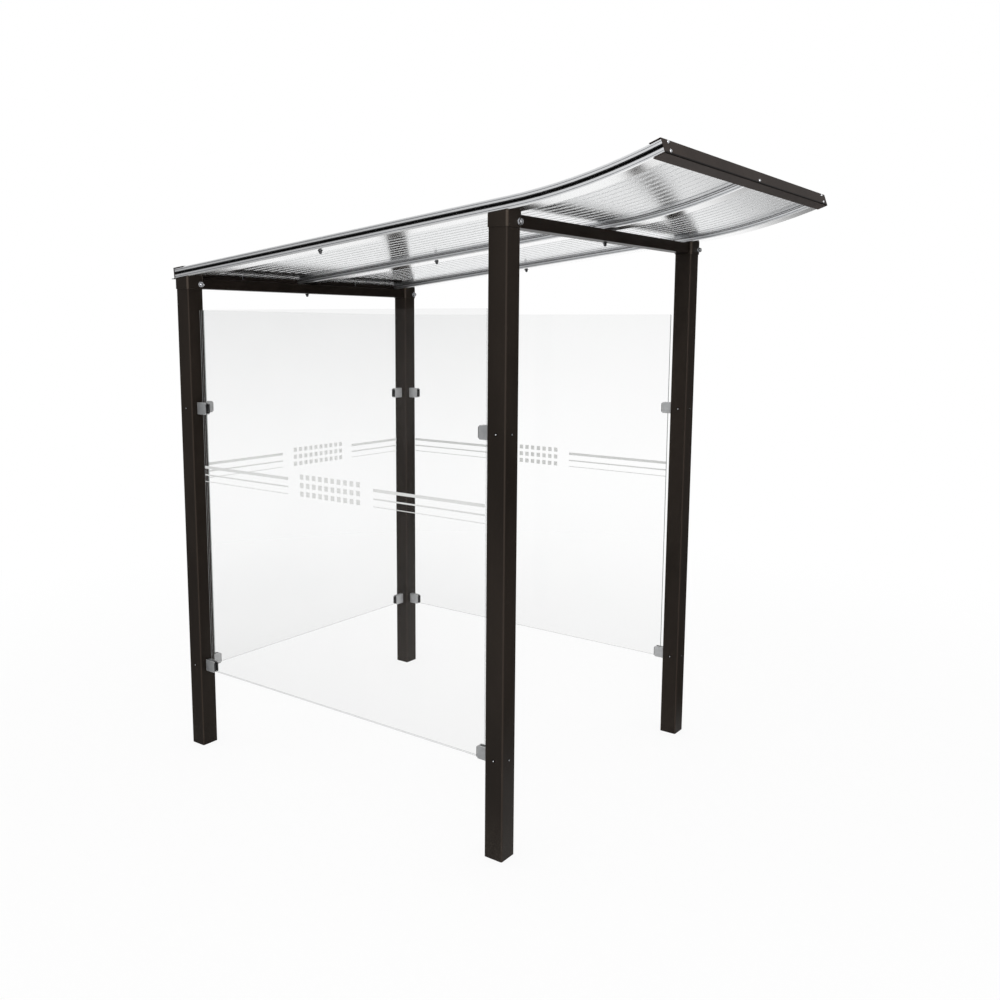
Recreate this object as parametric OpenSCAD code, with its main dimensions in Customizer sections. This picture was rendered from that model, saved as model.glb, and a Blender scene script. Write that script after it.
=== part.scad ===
// Open-fronted cashier shelter: four square posts, three clamped glass panes and a swept roof of
// clear multiwall sheet held between two-part rails.
// X runs across the front, Y from the front to the back, Z up. The origin is on the ground, at the
// middle of the roof's footprint. Roof pieces are drawn in a slope frame: x across, y back along
// the slope, z square to the slope, with z = 0 on the underside of the rails.

/* [Posts] */
// Distance between the left and right post centres
grid_w = 1440; // [1200:10:2400]
// Distance between the front and rear post centres
grid_d = 1710; // [1300:10:2400]
// Side of each square post
post_w = 80; // [70:1:120]
// Wall of the post tube
post_wall = 3; // [2:0.5:5]
// Outer corner radius of the post tube
post_r = 6; // [5.5:0.5:10]
// Thickness of the plate that closes each foot
foot_t = 8; // [4:1:15]

/* [Glass] */
// Thickness of each pane
glass_t = 8; // [6:1:12]
// Height of the panes' lower edge above the ground
glass_bottom = 360; // [150:10:600]
// Height of each pane
glass_h = 1650; // [1000:10:1900]
// Gap between a pane's edge and the post beside it
glass_gap = 30; // [15:1:40]
// Corner radius of each pane
glass_r = 4; // [1:0.5:15]

/* [Glass clamps] */
// Reach of a clamp from its post
clamp_l = 60; // [55:1:90]
// Height of a clamp
clamp_h = 52; // [30:1:80]
// Thickness of each clamp jaw
jaw_t = 3.5; // [2.5:0.5:8]
// Corner radius at the free end of the jaws
jaw_r = 6; // [1:0.5:12]
// Thickness of the rubber between a jaw and the pane
pad_t = 3; // [1.5:0.5:5]
// Thickness of the rubber lip over the ends of the jaws
lip_t = 3; // [1:0.5:5]
// Gap between a pane's edge and the heel of the clamp
heel_gap = 5; // [2:1:12]
// Height of the lower clamps' middle above the pane's lower edge
clamp_low = 22; // [10:1:120]
// Depth of the upper clamps' middle below the pane's upper edge
clamp_high = 435; // [60:5:600]
// Diameter of the stud that fixes a clamp to its post
stud_d = 8; // [5:0.5:10]
// Diameter of the plug heads in the unused post holes
plug_d = 12; // [11:0.5:20]

/* [Head frame] */
// Gap between the back pane and the rear beam above it
head_gap = 93; // [40:1:400]
// Height of the beams
beam_h = 45; // [40:1:70]
// Depth of the beams from front to back
beam_d = 60; // [50:1:70]
// Wall of the beam tube
beam_wall = 2; // [1.5:0.5:3]
// Outer corner radius of the beam tube
beam_r = 4; // [3.5:0.5:8]
// Wall of the sleeves over the post tops
sleeve_wall = 3; // [2:0.5:6]
// Clearance between a post and its sleeve
sleeve_fit = 0.5; // [0.2:0.1:1]
// Drop of the sleeves' lower edge below the beams
sleeve_drop = 2; // [0:1:20]
// Thickness of the sloping plate on top of each sleeve
sleeve_top_t = 4; // [3:0.5:6]
// Gap between a post's end and the plate above it
post_end_gap = 5; // [2:1:10]
// Thread size of the bolts that lock the sleeves
sleeve_bolt_d = 12; // [8:1:14]
// Distance of a sleeve bolt from the post's right face
sleeve_bolt_in = 14; // [13:1:25]
// Height of a sleeve bolt above the sleeve's lower edge
sleeve_bolt_up = 20; // [14:1:24]

/* [Roof] */
// Slope of the straight part of the roof, in degrees
pitch = 6; // [2:0.5:10]
// Reach of the rails behind the rear post centres, along the slope
rear_reach = 46; // [45:1:300]
// Straight length left in front of the front sleeves
curve_lead = 1.5; // [0:0.5:100]
// Radius of the upswept front part, to the rails' underside
curve_r = 2460; // [1500:10:5000]
// Length of the upswept front part along the rails' underside
curve_l = 586; // [200:1:900]
// Width of the rails
rail_w = 80; // [70:1:100]
// Height of each half of a rail
rail_h = 16; // [12:0.5:30]
// Flat walls of the rails
rail_wall = 2; // [1.5:0.5:3]
// Side walls of the rails
rail_side = 3; // [3:0.5:5]
// Bevel on the outer corners of the rails
rail_bevel = 3; // [1:0.5:3]
// Depth of the line along each side of the rails
groove_d = 1; // [0.5:0.5:2]
// Height of the line along each side of the rails
groove_h = 2.5; // [1:0.5:5]
// Width of the slot in each rail that takes the end screws
port_w = 5; // [4:0.5:6]
// Thickness of the multiwall sheets
sheet_t = 10; // [6:1:16]
// Thickness of a sheet's upper and lower skins
skin_t = 1; // [0.5:0.1:1.5]
// Thickness of the ribs inside a sheet
rib_t = 0.8; // [0.4:0.1:2]
// Distance between ribs, before fitting a whole number into the bay
rib_pitch = 24; // [10:1:60]
// Distance from the middle of a rail to the sheet's edge
sheet_edge = 20; // [14:1:24]
// Thickness of the gaskets against a sheet
gasket_t = 1.5; // [1:0.5:4]
// Thickness of the gaskets where a rail has no sheet
free_gasket_t = 3; // [1:0.5:4]
// Width of the gaskets
gasket_w = 9; // [4:1:10]
// Distance of the gaskets from the side of the rail
gasket_in = 1; // [0:0.5:3]
// Thread size of the bolts through the rails
rail_bolt_d = 8; // [6:1:10]
// Distance of the end bolts from the rear face of the beams
rail_bolt_in = 7; // [7:1:15]
// Distance of the middle bolts behind the middle of the shelter
rail_bolt_mid = 32; // [-300:1:300]

/* [Trims] */
// Thickness of the folded front and rear trims
trim_t = 2; // [1:0.5:3]
// Outer bend radius of the trims
trim_r = 3; // [3:0.5:5]
// Clearance between the trims and the ends of the rails
trim_gap = 0.5; // [0.2:0.1:2]
// Clearance between the front trim and the rails' top and bottom
trim_fit = 0.4; // [0.4:0.1:2]
// Reach of the trims past the outer sides of the rails
trim_over = 2; // [0:1:10]
// Depth of the front trim's flanges
front_flange = 42; // [20:1:80]
// Depth of the rear trim's upper flange
rear_flange = 62; // [45:1:100]
// Reach of the rear trim's drip lip
drip_lip = 20; // [5:1:60]
// Thread size of the front trim screws
trim_screw_d = 5; // [4:0.5:6]
// Width of the clips behind the sheets' rear ends
clip_w = 8; // [5:1:30]
// Height of the clips
clip_h = 22; // [14:1:26]
// Thickness of the clips
clip_t = 2.5; // [1:0.5:5]
// Distance of each clip from the middle of its bay, outward
clip_out = 19; // [-200:1:200]

/* [Hidden] */

// Finishes
paint = [0.15, 0.13, 0.11];
bare_metal = [0.80, 0.81, 0.82];
zinc = [0.72, 0.73, 0.75];
cast = [0.62, 0.63, 0.64];
black_rubber = [0.04, 0.04, 0.04];
clear_sheet = [0.90, 0.92, 0.92, 0.5];
clear_glass = [0.85, 0.92, 0.90, 0.3];

// Facets of small rounds and of the large roof curve
round_fn = 48;
curve_fn = 720;
// Overrun of cuts past the surface they cut, and a size past every edge of the part
over = 1;
far = 4000;
// Radial clearance of bolts and studs in their holes
bolt_fit = 0.3;

// Stack of a rail: base half, gasket, sheet, gasket, cap half
slot_h = sheet_t + 2 * gasket_t;
stack_h = 2 * rail_h + slot_h;
sheet_z = rail_h + gasket_t;

// Sleeves and the upswept part, along Y from the middle of the posts
sleeve_w = post_w + 2 * (sleeve_fit + sleeve_wall);
tip_angle = pitch + curve_l / curve_r * 180 / PI;
curve_dy = curve_r * (sin(tip_angle) - sin(pitch));
tip_dy = grid_d / 2 + sleeve_w / 2 + curve_lead + curve_dy;
rear_dy = grid_d / 2 + rear_reach * cos(pitch);

// Front trim screws, above the rails' underside
screw_head_d = 2.5 * trim_screw_d;
screw_head_h = 4;
screw_l = 24;
low_screw_z = rail_h / 2;
high_screw_z = stack_h - rail_h / 2;
screw_end_d = 0.6 * screw_head_d;

// Foremost point of the front trim or its lower screws, and rearmost of the rear trim, which
// set the middle of the footprint
nose_in = trim_r - trim_gap - trim_t;
nose_up = trim_r - trim_fit - trim_t;
trim_nose = nose_in * cos(tip_angle) + nose_up * sin(tip_angle) - trim_r;
screw_nose = (low_screw_z - screw_end_d / 2) * sin(tip_angle)
    - (trim_gap + trim_t + screw_head_h) * cos(tip_angle);
nose_y = min(trim_nose, screw_nose) - tip_dy;
lip_y = rear_dy + (trim_gap + trim_t + drip_lip) * cos(pitch) + trim_t * sin(pitch);
middle_y = -(nose_y + lip_y) / 2;

// Post rows and roof points in the part's frame
post_x = grid_w / 2;
front_y = middle_y - grid_d / 2;
rear_y = middle_y + grid_d / 2;
curve_y = front_y - sleeve_w / 2 - curve_lead;
straight_l = (rear_y - curve_y) / cos(pitch) + rear_reach;

// Heights: the rails rest on the rear edge of each beam
rear_beam_z = glass_bottom + glass_h + head_gap;
rest_y = rear_y + beam_d / 2;
rest_z = rear_beam_z + beam_h;
function under_z(y) = rest_z + (rest_y - y) * tan(pitch);
function beam_z(y) = under_z(y + beam_d / 2) - beam_h;
function sleeve_z(y) = beam_z(y) - sleeve_drop;
function post_top(y) = under_z(y + sleeve_w / 2) - sleeve_top_t / cos(pitch) - post_end_gap;
tip_y = middle_y - tip_dy;
tip_z = under_z(curve_y) + curve_r * (cos(pitch) - cos(tip_angle));

// Clamps
clamp_t = glass_t + 2 * (pad_t + jaw_t);
jaw_l = clamp_l - lip_t;
heel_l = glass_gap - heel_gap;
clamp_zs = [glass_bottom + clamp_low, glass_bottom + glass_h - clamp_high];
stud_l = post_wall + 6;
plug_head = 1.6;
plug_stem = post_wall + 2;

// Bolts: hexagon width, height, washer and dome of each kind
rail_hex = rail_bolt_d * 1.625;
rail_head_h = rail_bolt_d * 0.66;
rail_nut_h = rail_bolt_d * 0.8;
washer_d = rail_bolt_d * 2.5;
washer_t = rail_bolt_d * 0.25;
dome_r = rail_bolt_d * 0.75;
sleeve_hex = sleeve_bolt_d * 1.58;
sleeve_nut_h = sleeve_bolt_d * 0.9;
sleeve_washer_t = 2.5;
sleeve_head_d = 1.5 * sleeve_bolt_d;
sleeve_head_h = 6;
bolt_dy = beam_d / 2 - rail_bolt_in;
bolt_ys = [front_y + bolt_dy, middle_y + rail_bolt_mid, rear_y + bolt_dy];

// A rectangle about the origin with rounded corners
module rounded(w, h, r) {
    square([w - 2 * r, h], center = true);
    square([w, h - 2 * r], center = true);
    for (x = [-1, 1], y = [-1, 1])
        translate([x * (w / 2 - r), y * (h / 2 - r)]) circle(r, $fn = round_fn);
}

// A hexagonal prism along +Z, af wide across its flats
module hexagon(af, h) cylinder(h = h, r = af / 2 / cos(30), $fn = 6);

// The slope frame at a distance y along the straight part of the roof
module on_slope(y) translate([0, y, under_z(y)]) rotate([-pitch, 0, 0]) children();

// The slope frame at the front end of the rails
module at_tip() translate([0, tip_y, tip_z]) rotate([-tip_angle, 0, 0]) children();

// A flat outline run along the whole roof, short of its ends by the two cuts
module roof_run(front_cut = 0, rear_cut = 0) {
    straight = straight_l - rear_cut;
    sweep = (curve_l - front_cut) / curve_r * 180 / PI;
    on_slope(curve_y) {
        translate([0, straight, 0]) rotate([90, 0, 0]) linear_extrude(straight) children();
        translate([0, 0, curve_r]) rotate([180, 0, 0]) rotate([0, -90, 0])
            rotate_extrude(angle = sweep, $fn = curve_fn)
                translate([curve_r, 0]) mirror([1, 0]) rotate(-90) children();
    }
}

// Everything that stands higher than z in the slope frame at y
module above_slope(y, z) on_slope(y) translate([-far / 2, -far / 2, z]) cube(far);

// Posts -------------------------------------------------------------------------------------

// A square post at column x and row y, closed at its foot and drilled for the clamps
module post(x, y) {
    top = post_top(y);
    bolt_x = post_w / 2 - sleeve_bolt_in;
    color(paint) translate([x, y, 0]) difference() {
        linear_extrude(top) rounded(post_w, post_w, post_r);
        translate([0, 0, foot_t]) linear_extrude(top)
            rounded(post_w - 2 * post_wall, post_w - 2 * post_wall, post_r - post_wall);
        for (z = clamp_zs, turn = [0, 90])
            translate([0, 0, z]) rotate([90, 0, turn])
                cylinder(h = post_w + 2 * over, d = stud_d + 2 * bolt_fit, center = true,
                    $fn = round_fn);
        translate([bolt_x, -post_w / 2 - over, sleeve_z(y) + sleeve_bolt_up]) rotate([-90, 0, 0])
            cylinder(h = post_wall + 2 * over, d = sleeve_bolt_d + 2 * bolt_fit, $fn = round_fn);
    }
}

// The frame of a post face at height z, with +X along the face's outward normal
module on_face(x, y, z, turn)
    translate([x, y, z]) rotate([0, 0, turn]) translate([post_w / 2, 0, 0]) children();

// A domed plug in one post hole
module plug() rotate([0, 90, 0]) {
    cylinder(h = plug_head, d1 = plug_d, d2 = plug_d * 0.6, $fn = round_fn);
    translate([0, 0, -plug_stem]) cylinder(h = plug_stem, d = stud_d, $fn = round_fn);
}

module post_front_left() post(-post_x, front_y);
module post_front_right() post(post_x, front_y);
module post_rear_left() post(-post_x, rear_y);
module post_rear_right() post(post_x, rear_y);

module post_plugs() color(zinc) for (z = clamp_zs, x = [-1, 1]) {
    for (turn = [0, 180, 270]) on_face(x * post_x, front_y, z, turn) plug();
    on_face(x * post_x, rear_y, z, 90) plug();
    on_face(x * post_x, rear_y, z, 90 - 90 * x) plug();
}

// Glass and clamps --------------------------------------------------------------------------

// A pane of width w standing along X, with its middle at the origin of the plan
module pane(w) color(clear_glass) translate([0, 0, glass_bottom + glass_h / 2]) rotate([90, 0, 0])
    linear_extrude(glass_t, center = true) rounded(w, glass_h, glass_r);

side_pane_w = grid_d - post_w - 2 * glass_gap;
back_pane_w = grid_w - post_w - 2 * glass_gap;

module glass_left() translate([-post_x, middle_y, 0]) rotate([0, 0, 90]) pane(side_pane_w);
module glass_right() translate([post_x, middle_y, 0]) rotate([0, 0, 90]) pane(side_pane_w);
module glass_back() translate([0, rear_y, 0]) pane(back_pane_w);

// The faces that carry a pane's clamps: column x, row y and turn of each face
function side_faces(x) = [[x, front_y, 90], [x, rear_y, 270]];
back_faces = [[-post_x, rear_y, 0], [post_x, rear_y, 180]];

module at_clamps(faces) for (face = faces, z = clamp_zs)
    on_face(face[0], face[1], z, face[2]) children();

// A two-jawed clamp, from the post's face along +X
module clamp() {
    difference() {
        rotate([90, 0, 0]) linear_extrude(clamp_t, center = true) {
            translate([0, -clamp_h / 2]) square([jaw_l - jaw_r, clamp_h]);
            translate([0, jaw_r - clamp_h / 2]) square([jaw_l, clamp_h - 2 * jaw_r]);
            for (z = [-1, 1]) translate([jaw_l - jaw_r, z * (clamp_h / 2 - jaw_r)])
                circle(jaw_r, $fn = round_fn);
        }
        translate([heel_l, -glass_t / 2 - pad_t, -clamp_h / 2 - over])
            cube([clamp_l, glass_t + 2 * pad_t, clamp_h + 2 * over]);
    }
    translate([-stud_l, 0, 0]) rotate([0, 90, 0])
        cylinder(h = stud_l + over, d = stud_d, $fn = round_fn);
}

// The two rubber liners of a clamp, each with a lip over the end of its jaw
module pads() for (side = [0, 1]) mirror([0, side, 0]) translate([0, glass_t / 2, 0])
    linear_extrude(clamp_h - 2 * jaw_r, center = true)
        polygon([[heel_l, 0], [clamp_l, 0], [clamp_l, pad_t + jaw_t], [jaw_l, pad_t + jaw_t],
            [jaw_l, pad_t], [heel_l, pad_t]]);

module clamps_left() color(cast) at_clamps(side_faces(-post_x)) clamp();
module clamps_back() color(cast) at_clamps(back_faces) clamp();
module clamps_right() color(cast) at_clamps(side_faces(post_x)) clamp();
module pads_left() color(black_rubber) at_clamps(side_faces(-post_x)) pads();
module pads_back() color(black_rubber) at_clamps(back_faces) pads();
module pads_right() color(black_rubber) at_clamps(side_faces(post_x)) pads();

// Head frame --------------------------------------------------------------------------------

// A beam between the two sleeves of the row at y, drilled for the middle rail's bolt
module beam(y) {
    length = grid_w - sleeve_w;
    color(paint) difference() {
        translate([-length / 2, y, beam_z(y) + beam_h / 2]) rotate([90, 0, 90])
            linear_extrude(length) difference() {
                rounded(beam_d, beam_h, beam_r);
                rounded(beam_d - 2 * beam_wall, beam_h - 2 * beam_wall, beam_r - beam_wall);
            }
        on_slope(y + bolt_dy) translate([0, 0, -far / 2])
            cylinder(h = far, d = rail_bolt_d + 2 * bolt_fit, $fn = round_fn);
    }
}

// A sleeve over the post at column x and row y, closed by a plate that lies to the roof's slope
module sleeve(x, y) {
    bore = post_w + 2 * sleeve_fit;
    bolt_x = x + post_w / 2 - sleeve_bolt_in;
    low = sleeve_z(y);
    color(paint) difference() {
        translate([x, y, low]) linear_extrude(2 * beam_h)
            rounded(sleeve_w, sleeve_w, post_r + sleeve_fit + sleeve_wall);
        difference() {
            translate([x, y, low - over]) linear_extrude(2 * beam_h)
                rounded(bore, bore, post_r + sleeve_fit);
            above_slope(y, -sleeve_top_t);
        }
        above_slope(y, 0);
        on_slope(y + bolt_dy) translate([x, 0, -2 * sleeve_top_t])
            cylinder(h = 3 * sleeve_top_t, d = rail_bolt_d + 2 * bolt_fit, $fn = round_fn);
        translate([bolt_x, y - sleeve_w / 2 - over, low + sleeve_bolt_up]) rotate([-90, 0, 0])
            cylinder(h = sleeve_wall + 2 * over, d = sleeve_bolt_d + 2 * bolt_fit, $fn = round_fn);
    }
}

// A bolt through the front of the sleeve at column x and row y, its nut outside
module sleeve_bolt(x, y) {
    shank = (sleeve_w - post_w) / 2 + post_wall;
    translate([x + post_w / 2 - sleeve_bolt_in, y - sleeve_w / 2, sleeve_z(y) + sleeve_bolt_up])
        rotate([90, 0, 0]) {
            translate([0, 0, -shank]) cylinder(h = shank, d = sleeve_bolt_d, $fn = round_fn);
            translate([0, 0, -shank - sleeve_head_h])
                cylinder(h = sleeve_head_h, d = sleeve_head_d, $fn = round_fn);
            cylinder(h = sleeve_washer_t, d = 2 * sleeve_bolt_d, $fn = round_fn);
            translate([0, 0, sleeve_washer_t]) hexagon(sleeve_hex, sleeve_nut_h);
            translate([0, 0, sleeve_washer_t])
                cylinder(h = sleeve_nut_h + over, d = sleeve_bolt_d, $fn = round_fn);
        }
}

module front_beam() beam(front_y);
module rear_beam() beam(rear_y);
module sleeve_front_left() sleeve(-post_x, front_y);
module sleeve_front_right() sleeve(post_x, front_y);
module sleeve_rear_left() sleeve(-post_x, rear_y);
module sleeve_rear_right() sleeve(post_x, rear_y);
module sleeve_bolts() color(zinc) for (x = [-1, 1], y = [front_y, rear_y])
    sleeve_bolt(x * post_x, y);

// Roof rails --------------------------------------------------------------------------------

// The outline of a hollow rail half, its bevelled side down
module rail_outline() {
    half = rail_w / 2;
    web = port_w / 2 + rail_wall;
    difference() {
        polygon([[rail_bevel - half, 0], [half - rail_bevel, 0], [half, rail_bevel],
            [half, rail_h], [-half, rail_h], [-half, rail_bevel]]);
        for (side = [0, 1]) mirror([side, 0]) {
            translate([web, rail_wall]) square([half - rail_side - web, rail_h - 2 * rail_wall]);
            translate([half - groove_d, (rail_h - groove_h) / 2]) square([2 * groove_d, groove_h]);
        }
        translate([-port_w / 2, rail_wall]) square([port_w, rail_h - 2 * rail_wall]);
    }
}

// Holes for the three bolts of the rail in column x
module rail_holes(x) for (y = bolt_ys) on_slope(y) translate([x, 0, -stack_h])
    cylinder(h = 3 * stack_h, d = rail_bolt_d + 2 * bolt_fit, $fn = round_fn);

module base_rail(x) color(bare_metal) difference() {
    roof_run() translate([x, 0]) rail_outline();
    rail_holes(x);
}

module cap_rail(x) color(bare_metal) difference() {
    roof_run() translate([x, stack_h]) mirror([0, 1]) rail_outline();
    rail_holes(x);
}

// Upper and lower gaskets of the rail in column x: side is 1 on its right edge and -1 on its left
module gasket_pair(x, side, thick) {
    inner = rail_w / 2 - gasket_in - gasket_w;
    left = side > 0 ? x + inner : x - inner - gasket_w;
    for (z = [rail_h, rail_h + slot_h - thick])
        roof_run() translate([left, z]) square([gasket_w, thick]);
}

module base_rail_left() base_rail(-post_x);
module base_rail_middle() base_rail(0);
module base_rail_right() base_rail(post_x);
module cap_rail_left() cap_rail(-post_x);
module cap_rail_middle() cap_rail(0);
module cap_rail_right() cap_rail(post_x);
module gaskets_left() color(black_rubber) {
    gasket_pair(-post_x, -1, free_gasket_t);
    gasket_pair(-post_x, 1, gasket_t);
}
module gaskets_middle() color(black_rubber) for (side = [-1, 1]) gasket_pair(0, side, gasket_t);
module gaskets_right() color(black_rubber) {
    gasket_pair(post_x, -1, gasket_t);
    gasket_pair(post_x, 1, free_gasket_t);
}

// Roof sheets -------------------------------------------------------------------------------

// Room behind the sheets' rear ends for the clips
sheet_cut = clip_t + trim_gap + over;
bay_w = post_x - 2 * sheet_edge;

// The outline of one sheet, skins and ribs, with its left edge at x
module sheet_outline(x) {
    cells = round(bay_w / rib_pitch);
    step = (bay_w - rib_t) / cells;
    translate([x, sheet_z]) difference() {
        square([bay_w, sheet_t]);
        for (i = [0 : cells - 1]) translate([rib_t + i * step, skin_t])
            square([step - rib_t, sheet_t - 2 * skin_t]);
    }
}

module roof_sheet(x) color(clear_sheet) roof_run(trim_gap, sheet_cut) sheet_outline(x);
module roof_sheet_left() roof_sheet(sheet_edge - post_x);
module roof_sheet_right() roof_sheet(sheet_edge);

// Rail bolts --------------------------------------------------------------------------------

// A bolt square to the slope: its head above head_z, and a domed nut below nut_z
module rail_bolt(head_z, nut_z) {
    translate([0, 0, nut_z]) cylinder(h = head_z - nut_z, d = rail_bolt_d, $fn = round_fn);
    translate([0, 0, head_z]) cylinder(h = washer_t, d = washer_d, $fn = round_fn);
    translate([0, 0, head_z + washer_t]) hexagon(rail_hex, rail_head_h);
    translate([0, 0, nut_z - washer_t]) cylinder(h = washer_t, d = washer_d, $fn = round_fn);
    translate([0, 0, nut_z - washer_t - rail_nut_h]) {
        hexagon(rail_hex, rail_nut_h);
        sphere(dome_r, $fn = round_fn);
    }
}

// The three bolts of the rail in column x, whose end nuts sit below end_z
module rail_bolts(x, end_z) color(zinc) {
    on_slope(bolt_ys[0]) translate([x, 0, 0]) rail_bolt(stack_h, end_z);
    on_slope(bolt_ys[1]) translate([x, 0, 0]) rail_bolt(stack_h, 0);
    on_slope(bolt_ys[2]) translate([x, 0, 0]) rail_bolt(stack_h + trim_t, end_z);
}

// Depth of the beams' undersides in the slope frame, where the washer just clears them
beam_under = -(beam_h + rail_bolt_in * tan(pitch)) / cos(pitch) - washer_d / 2 * tan(pitch);

module rail_bolts_left() rail_bolts(-post_x, -sleeve_top_t);
module rail_bolts_middle() rail_bolts(0, beam_under);
module rail_bolts_right() rail_bolts(post_x, -sleeve_top_t);

// Trims -------------------------------------------------------------------------------------

trim_l = grid_w + rail_w + 2 * trim_over;

// Runs an outline, drawn back along the slope and square to it, across the whole roof
module across() translate([-trim_l / 2, 0, 0]) rotate([90, 0, 90]) linear_extrude(trim_l)
    children();

module front_trim() {
    tall = stack_h + 2 * (trim_fit + trim_t);
    deep = front_flange + trim_gap;
    color(paint) at_tip() difference() {
        across() translate([-trim_gap - trim_t, stack_h / 2 - tall / 2]) difference() {
            translate([deep / 2 + trim_r, tall / 2]) rounded(deep + 2 * trim_r, tall, trim_r);
            translate([deep / 2 + trim_r + trim_t, tall / 2])
                rounded(deep + 2 * trim_r, tall - 2 * trim_t, trim_r - trim_t);
            translate([deep, -over]) square([deep, tall + 2 * over]);
        }
        at_trim_screws() rotate([90, 0, 0])
            cylinder(h = far, d = trim_screw_d + 2 * bolt_fit, center = true, $fn = round_fn);
    }
}

// The places of the front trim's screws in the slope frame of the front end
module at_trim_screws() {
    for (x = [-post_x, post_x], z = [low_screw_z, high_screw_z]) translate([x, 0, z]) children();
    translate([0, 0, low_screw_z]) children();
}

module front_trim_screws() color(zinc) at_tip() at_trim_screws()
    translate([0, -trim_gap - trim_t, 0]) rotate([90, 0, 0]) {
        cylinder(h = screw_head_h, d1 = screw_head_d, d2 = screw_end_d, $fn = round_fn);
        translate([0, 0, -screw_l]) cylinder(h = screw_l, d = trim_screw_d, $fn = round_fn);
    }

// The rear trim: a flange over the caps, a web behind the rails and a drip lip
module rear_trim() color(paint) difference() {
    on_slope(rear_y) translate([0, rear_reach + trim_gap, 0]) across() {
        translate([-rear_flange, stack_h]) square([rear_flange, trim_t]);
        translate([0, trim_t]) square([trim_t, stack_h]);
        square([trim_t + drip_lip, trim_t]);
    }
    for (x = [-post_x, 0, post_x]) rail_holes(x);
}

// Clips between the sheets' rear ends and the rear trim's web
module sheet_clips() color(bare_metal) on_slope(rear_y)
    for (side = [-1, 1])
        translate([side * (post_x / 2 + clip_out) - clip_w / 2, rear_reach + trim_gap - clip_t,
            sheet_z + (sheet_t - clip_h) / 2]) cube([clip_w, clip_t, clip_h]);

post_front_left();
post_front_right();
post_rear_left();
post_rear_right();
post_plugs();
glass_left();
glass_back();
glass_right();
clamps_left();
clamps_back();
clamps_right();
pads_left();
pads_back();
pads_right();
front_beam();
rear_beam();
sleeve_front_left();
sleeve_front_right();
sleeve_rear_left();
sleeve_rear_right();
sleeve_bolts();
base_rail_left();
base_rail_middle();
base_rail_right();
gaskets_left();
gaskets_middle();
gaskets_right();
roof_sheet_left();
roof_sheet_right();
cap_rail_left();
cap_rail_middle();
cap_rail_right();
rail_bolts_left();
rail_bolts_middle();
rail_bolts_right();
front_trim();
front_trim_screws();
rear_trim();
sheet_clips();
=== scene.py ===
"""Dresses the open-fronted cashier shelter and sets it in a plain studio.

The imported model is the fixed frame. Finishes go on its solids, the roof and post fasteners are
remade with their real edges, and the glass gets its frosted bands. Sizes are in metres.
"""
import logging
import math
from dataclasses import dataclass, field
from enum import Enum
from typing import Any, Callable, Dict, Iterable, List, Optional, Sequence, Tuple, Union

import bmesh
import bpy
from mathutils import Matrix, Vector


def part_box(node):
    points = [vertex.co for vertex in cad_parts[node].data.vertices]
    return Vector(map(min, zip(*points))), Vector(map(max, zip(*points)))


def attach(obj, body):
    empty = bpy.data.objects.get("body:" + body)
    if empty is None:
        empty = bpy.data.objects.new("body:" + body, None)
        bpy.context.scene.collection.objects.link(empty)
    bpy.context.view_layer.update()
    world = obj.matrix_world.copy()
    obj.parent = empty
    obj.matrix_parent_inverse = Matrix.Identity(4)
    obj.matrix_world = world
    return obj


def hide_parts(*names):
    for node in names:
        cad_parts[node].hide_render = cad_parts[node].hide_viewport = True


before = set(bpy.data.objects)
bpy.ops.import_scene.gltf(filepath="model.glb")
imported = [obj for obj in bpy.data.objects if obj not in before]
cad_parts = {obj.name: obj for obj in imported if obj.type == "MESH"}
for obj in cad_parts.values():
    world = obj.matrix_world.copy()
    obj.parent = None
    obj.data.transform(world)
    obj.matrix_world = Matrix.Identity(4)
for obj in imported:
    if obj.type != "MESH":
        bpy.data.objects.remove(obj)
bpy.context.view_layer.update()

log = logging.getLogger("shelter")
Colour = Tuple[float, float, float]
Span = Tuple[float, float]
Profile = Tuple[Tuple[float, float], ...]
Input = Union["Signal", float, int, Sequence[float]]

# The shelter's four corners, and the three rails of its roof
CORNERS = tuple(f"{row}_{side}" for row in ("front", "rear") for side in ("left", "right"))
COLUMNS = ("left", "middle", "right")
# The values between which nearly all of a smooth noise lies
MOST_OF_NOISE = (0.3, 0.7)
# The bend over which an edge is drawn sharp
SHARP_ANGLE = math.radians(35.0)
# Corners nearer than this are one corner
SAME_POINT = 1e-6
# How many clear faces light may cross, enough for the ribs of both sheets
CLEAR_FACES_IN_A_ROW = 40


# Shader building ---------------------------------------------------------------------------


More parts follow.
